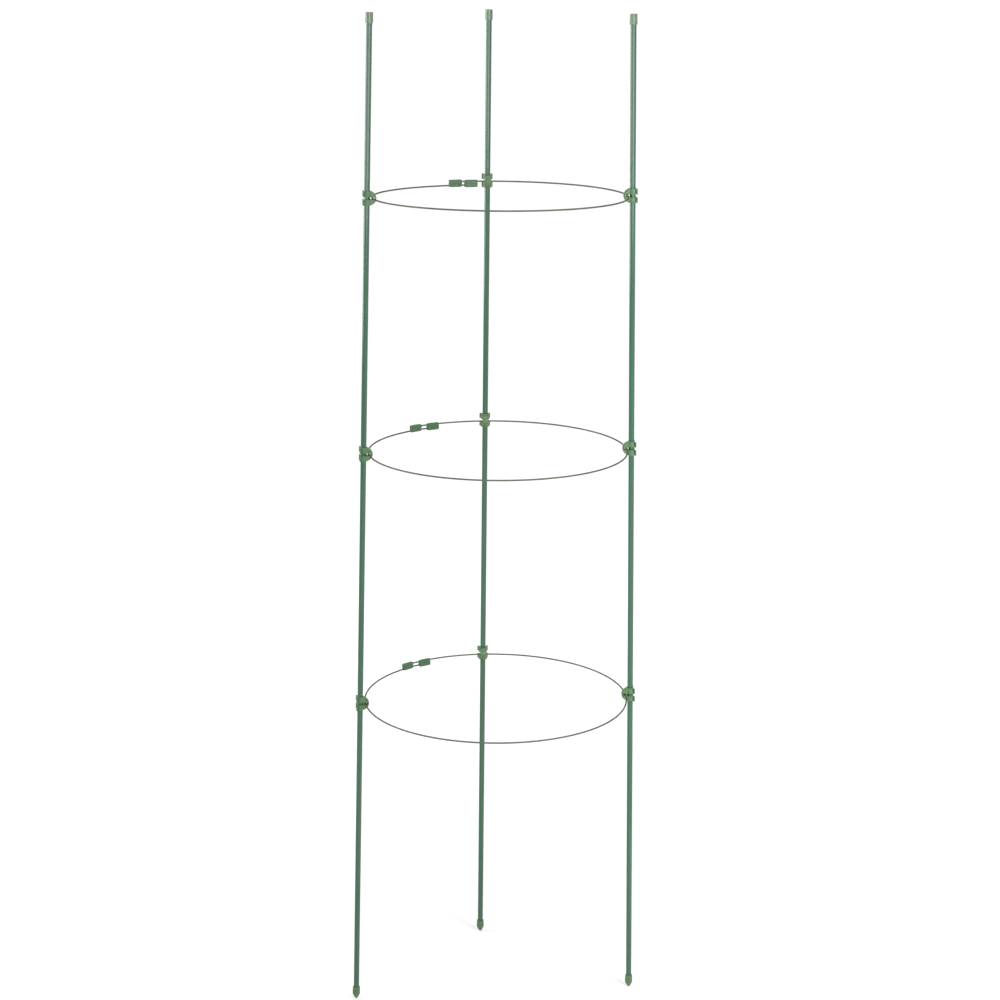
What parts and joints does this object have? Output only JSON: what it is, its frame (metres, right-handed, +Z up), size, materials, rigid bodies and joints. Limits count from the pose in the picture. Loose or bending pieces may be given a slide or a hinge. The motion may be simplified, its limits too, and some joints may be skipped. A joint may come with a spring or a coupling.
{
  "type": "tomato cage",
  "caption": "Tall plant support cage: splayed plastic-coated steel stakes with caps and pointed tips, joined by adjustable wire rings in spring clips that slide along them.",
  "frame": {"origin": "on the floor, under the middle of the cage's outer box", "axes": "+Z up along the cage; -Y faces the camera of the picture; +X to its right"},
  "size_m": [0.4384, 0.4184, 1.4998],
  "materials": {
    "steel_tube": "bare",
    "stake_coat": "gloss",
    "cap_plastic": "satin",
    "tip_plastic": "satin",
    "ring_wire": "galvanised",
    "adjuster_plastic": "satin",
    "clip_plastic": "satin"
  },
  "bodies": {
    "stakes": {"left_tube": "steel_tube", "left_coat": "stake_coat", "left_cap": "cap_plastic", "left_tip": "tip_plastic", "back_tube": "steel_tube", "back_coat": "stake_coat", "back_cap": "cap_plastic", "back_tip": "tip_plastic", "right_tube": "steel_tube", "right_coat": "stake_coat", "right_cap": "cap_plastic", "right_tip": "tip_plastic"},
    "top_ring": {"top_hoop_wire": "ring_wire", "top_upper_adjuster": "adjuster_plastic", "top_lower_adjuster": "adjuster_plastic"},
    "middle_ring": {"middle_hoop_wire": "ring_wire", "middle_upper_adjuster": "adjuster_plastic", "middle_lower_adjuster": "adjuster_plastic"},
    "bottom_ring": {"bottom_hoop_wire": "ring_wire", "bottom_upper_adjuster": "adjuster_plastic", "bottom_lower_adjuster": "adjuster_plastic"},
    "top_left_clip": {"top_left_clip": "clip_plastic"},
    "top_back_clip": {"top_back_clip": "clip_plastic"},
    "top_right_clip": {"top_right_clip": "clip_plastic"},
    "middle_left_clip": {"middle_left_clip": "clip_plastic"},
    "middle_back_clip": {"middle_back_clip": "clip_plastic"},
    "middle_right_clip": {"middle_right_clip": "clip_plastic"},
    "bottom_left_clip": {"bottom_left_clip": "clip_plastic"},
    "bottom_back_clip": {"bottom_back_clip": "clip_plastic"},
    "bottom_right_clip": {"bottom_right_clip": "clip_plastic"}
  },
  "joints": [
    {"name": "top_ring_slide", "type": "slide", "parent": "stakes", "child": "top_ring", "axis": [0, 0, 1], "range_m": [-0.1, 0.1]},
    {"name": "middle_ring_slide", "type": "slide", "parent": "stakes", "child": "middle_ring", "axis": [0, 0, 1], "range_m": [-0.1, 0.1]},
    {"name": "bottom_ring_slide", "type": "slide", "parent": "stakes", "child": "bottom_ring", "axis": [0, 0, 1], "range_m": [-0.1, 0.1]},
    {"name": "top_left_clip_slide", "type": "slide", "parent": "stakes", "child": "top_left_clip", "axis": [0.019, 0.0027, 0.9998], "range_m": [-0.10004, 0.10004]},
    {"name": "top_back_clip_slide", "type": "slide", "parent": "stakes", "child": "top_back_clip", "axis": [0.002, -0.0191, 0.9998], "range_m": [-0.10004, 0.10004]},
    {"name": "top_right_clip_slide", "type": "slide", "parent": "stakes", "child": "top_right_clip", "axis": [-0.0191, -0.0017, 0.9998], "range_m": [-0.10004, 0.10004]},
    {"name": "middle_left_clip_slide", "type": "slide", "parent": "stakes", "child": "middle_left_clip", "axis": [0.019, 0.0027, 0.9998], "range_m": [-0.10004, 0.10004]},
    {"name": "middle_back_clip_slide", "type": "slide", "parent": "stakes", "child": "middle_back_clip", "axis": [0.002, -0.0191, 0.9998], "range_m": [-0.10004, 0.10004]},
    {"name": "middle_right_clip_slide", "type": "slide", "parent": "stakes", "child": "middle_right_clip", "axis": [-0.0191, -0.0017, 0.9998], "range_m": [-0.10004, 0.10004]},
    {"name": "bottom_left_clip_slide", "type": "slide", "parent": "stakes", "child": "bottom_left_clip", "axis": [0.019, 0.0027, 0.9998], "range_m": [-0.10004, 0.10004]},
    {"name": "bottom_back_clip_slide", "type": "slide", "parent": "stakes", "child": "bottom_back_clip", "axis": [0.002, -0.0191, 0.9998], "range_m": [-0.10004, 0.10004]},
    {"name": "bottom_right_clip_slide", "type": "slide", "parent": "stakes", "child": "bottom_right_clip", "axis": [-0.0191, -0.0017, 0.9998], "range_m": [-0.10004, 0.10004]}
  ],
  "couplings": [
    {"joint": "top_left_clip_slide", "follows": "top_ring_slide", "ratio": 1.0002},
    {"joint": "top_back_clip_slide", "follows": "top_ring_slide", "ratio": 1.0002},
    {"joint": "top_right_clip_slide", "follows": "top_ring_slide", "ratio": 1.0002},
    {"joint": "middle_left_clip_slide", "follows": "middle_ring_slide", "ratio": 1.0002},
    {"joint": "middle_back_clip_slide", "follows": "middle_ring_slide", "ratio": 1.0002},
    {"joint": "middle_right_clip_slide", "follows": "middle_ring_slide", "ratio": 1.0002},
    {"joint": "bottom_left_clip_slide", "follows": "bottom_ring_slide", "ratio": 1.0002},
    {"joint": "bottom_back_clip_slide", "follows": "bottom_ring_slide", "ratio": 1.0002},
    {"joint": "bottom_right_clip_slide", "follows": "bottom_ring_slide", "ratio": 1.0002}
  ]
}
